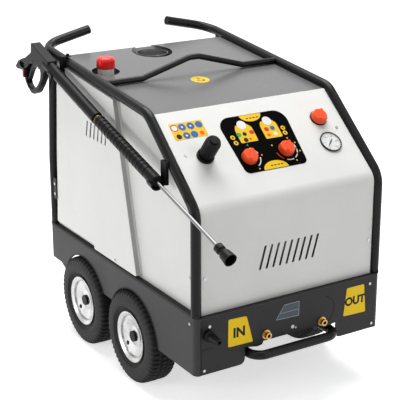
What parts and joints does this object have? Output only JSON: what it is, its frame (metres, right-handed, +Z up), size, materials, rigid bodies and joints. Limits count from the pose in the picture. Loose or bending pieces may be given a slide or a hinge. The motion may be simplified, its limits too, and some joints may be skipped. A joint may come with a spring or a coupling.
{
  "type": "pressure washer",
  "caption": "Hot-water pressure washer on four wheels with a tube frame, sloping console, push handle, pull handle, spray gun and lance on side hooks.",
  "frame": {"origin": "on the floor, midway between the two tube frames, 490 mm behind the front posts", "axes": "+Z up, +Y from the console front to the push handle, +X to the right seen from the console front"},
  "size_m": [0.8178, 1.4617, 1.1189],
  "materials": {
    "frame_black": "semi-gloss black powder coat",
    "base_grey": "dark grey powder coat, fine texture",
    "panel_white": "satin off-white powder coat",
    "top_grey": "semi-gloss mid grey powder coat",
    "seal_black": "matt black rubber",
    "trim_black": "matt black moulded plastic",
    "overlay_black": "printed black overlay with a satin sheen",
    "steel": "bright turned steel",
    "tyre_black": "black rubber with a worn sheen",
    "rim_silver": "silver painted pressed steel",
    "knob_orange": "orange moulded plastic",
    "gauge_face": "black bezel with a white printed dial",
    "needle_black": "black",
    "clear_glass": "clear",
    "cap_red": "red moulded plastic",
    "tank_white": "milky moulded plastic",
    "brass": "turned brass",
    "latch_red": "dark red plastic",
    "stainless": "rolled stainless sheet",
    "cast_grey": "cast aluminium",
    "pump_brass": "cast brass"
  },
  "bodies": {
    "machine": {"chassis_deck": "base_grey", "base_skirt": "base_grey", "front_plate": "base_grey", "base_seal": "seal_black", "left_frame": "frame_black", "right_frame": "frame_black", "handle_plugs": "trim_black", "lifting_bar": "frame_black", "pull_handle": "frame_black", "axles": "steel", "axle_brackets": "base_grey", "axle_caps": "trim_black", "front_panel": "panel_white", "top_panel": "top_grey", "left_side_panel": "panel_white", "left_cover": "panel_white", "right_side_panel": "panel_white", "rear_panel": "panel_white", "panel_screws": "steel", "control_overlay": "overlay_black", "console_valves": "trim_black", "gauge_case": "gauge_face", "gauge_lens": "clear_glass", "electric_box": "trim_black", "water_ports": "brass", "cable_gland": "trim_black", "lance_holders": "trim_black", "boiler_shell": "stainless", "flue_pipe": "stainless", "boiler_coil": "steel", "fuel_tank": "tank_white", "water_tank": "tank_white", "pump_motor": "cast_grey", "pump_head": "pump_brass", "burner_housing": "cast_grey"},
    "switch_knob": {"switch_knob": "knob_orange"},
    "heat_knob": {"heat_knob": "knob_orange"},
    "detergent_knob": {"detergent_knob": "knob_orange"},
    "pressure_knob": {"pressure_knob": "trim_black"},
    "gauge_needle": {"gauge_needle": "needle_black"},
    "cap_seal": {"cap_seal": "seal_black"},
    "fuel_cap": {"fuel_cap": "cap_red"},
    "gun": {"gun_body": "trim_black", "lance_nut": "brass", "lance_tube": "steel", "lance_grip": "trim_black"},
    "gun_trigger": {"gun_trigger": "trim_black"},
    "safety_latch": {"safety_latch": "latch_red"},
    "gun_inlet": {"gun_inlet": "trim_black"},
    "nozzle": {"nozzle": "trim_black"},
    "motor_rotor": {"motor_shaft": "steel"},
    "burner_rotor": {"burner_fan": "cast_grey"},
    "front_left_wheel": {"front_left_tyre": "tyre_black", "front_left_rim": "rim_silver"},
    "front_right_wheel": {"front_right_tyre": "tyre_black", "front_right_rim": "rim_silver"},
    "rear_left_wheel": {"rear_left_tyre": "tyre_black", "rear_left_rim": "rim_silver"},
    "rear_right_wheel": {"rear_right_tyre": "tyre_black", "rear_right_rim": "rim_silver"}
  },
  "joints": [
    {"name": "front_left_wheel_spin", "type": "hinge", "parent": "machine", "child": "front_left_wheel", "pos_m": [-0.3355, -0.096, 0.165], "axis": [1, 0, 0], "continuous": true},
    {"name": "front_right_wheel_spin", "type": "hinge", "parent": "machine", "child": "front_right_wheel", "pos_m": [0.3355, -0.096, 0.165], "axis": [1, 0, 0], "continuous": true},
    {"name": "rear_left_wheel_spin", "type": "hinge", "parent": "machine", "child": "rear_left_wheel", "pos_m": [-0.3355, 0.271, 0.165], "axis": [1, 0, 0], "continuous": true},
    {"name": "rear_right_wheel_spin", "type": "hinge", "parent": "machine", "child": "rear_right_wheel", "pos_m": [0.3355, 0.271, 0.165], "axis": [1, 0, 0], "continuous": true},
    {"name": "switch_knob_turn", "type": "hinge", "parent": "machine", "child": "switch_knob", "pos_m": [-0.083, -0.37278, 0.83055], "axis": [0, -0.6397, 0.7687], "range_deg": [-150, 0]},
    {"name": "heat_knob_turn", "type": "hinge", "parent": "machine", "child": "heat_knob", "pos_m": [0.0645, -0.36855, 0.83407], "axis": [0, -0.6397, 0.7687], "range_deg": [-270, 0]},
    {"name": "detergent_knob_turn", "type": "hinge", "parent": "machine", "child": "detergent_knob", "pos_m": [0.2485, -0.29399, 0.89611], "axis": [0, -0.6397, 0.7687], "range_deg": [-270, 0]},
    {"name": "pressure_knob_turn", "type": "hinge", "parent": "machine", "child": "pressure_knob", "pos_m": [-0.233, -0.34703, 0.85198], "axis": [0, -0.6397, 0.7687], "range_deg": [-720, 0]},
    {"name": "gauge_needle_turn", "type": "hinge", "parent": "machine", "child": "gauge_needle", "pos_m": [0.245, -0.37086, 0.83215], "axis": [0, -0.6397, 0.7687], "range_deg": [-270, 0], "stiffness_Nm_per_rad": 0.004},
    {"name": "fuel_cap_lift", "type": "slide", "parent": "machine", "child": "cap_seal", "axis": [0, 0, 1], "range_m": [0, 0.08]},
    {"name": "fuel_cap_turn", "type": "hinge", "parent": "cap_seal", "child": "fuel_cap", "pos_m": [-0.268, 0.25, 1.031], "axis": [0, 0, 1], "range_deg": [0, 270]},
    {"name": "gun_lift", "type": "slide", "parent": "machine", "child": "gun", "axis": [0, -0.3102, 0.9507], "range_m": [0, 0.12]},
    {"name": "trigger_pull", "type": "hinge", "parent": "gun", "child": "gun_trigger", "pos_m": [-0.405, 0.516, 1.021], "axis": [1, 0, 0], "range_deg": [0, 9], "stiffness_Nm_per_rad": 3, "springref_deg": -3.44},
    {"name": "latch_swing", "type": "hinge", "parent": "gun", "child": "safety_latch", "pos_m": [-0.417, 0.612, 0.968], "axis": [1, 0, 0], "range_deg": [-40, 40]},
    {"name": "inlet_swivel", "type": "hinge", "parent": "gun", "child": "gun_inlet", "pos_m": [-0.405, 0.606, 1], "axis": [0, 0.9439, -0.3304], "continuous": true},
    {"name": "nozzle_turn", "type": "hinge", "parent": "gun", "child": "nozzle", "pos_m": [-0.405, -0.71616, 0.68902], "axis": [0, -0.9615, -0.275], "range_deg": [0, 90]},
    {"name": "motor_spin", "type": "hinge", "parent": "machine", "child": "motor_rotor", "pos_m": [0.1, -0.3, 0.491], "axis": [1, 0, 0], "continuous": true},
    {"name": "burner_spin", "type": "hinge", "parent": "machine", "child": "burner_rotor", "pos_m": [0, 0.029, 0.82], "axis": [1, 0, 0], "continuous": true}
  ]
}
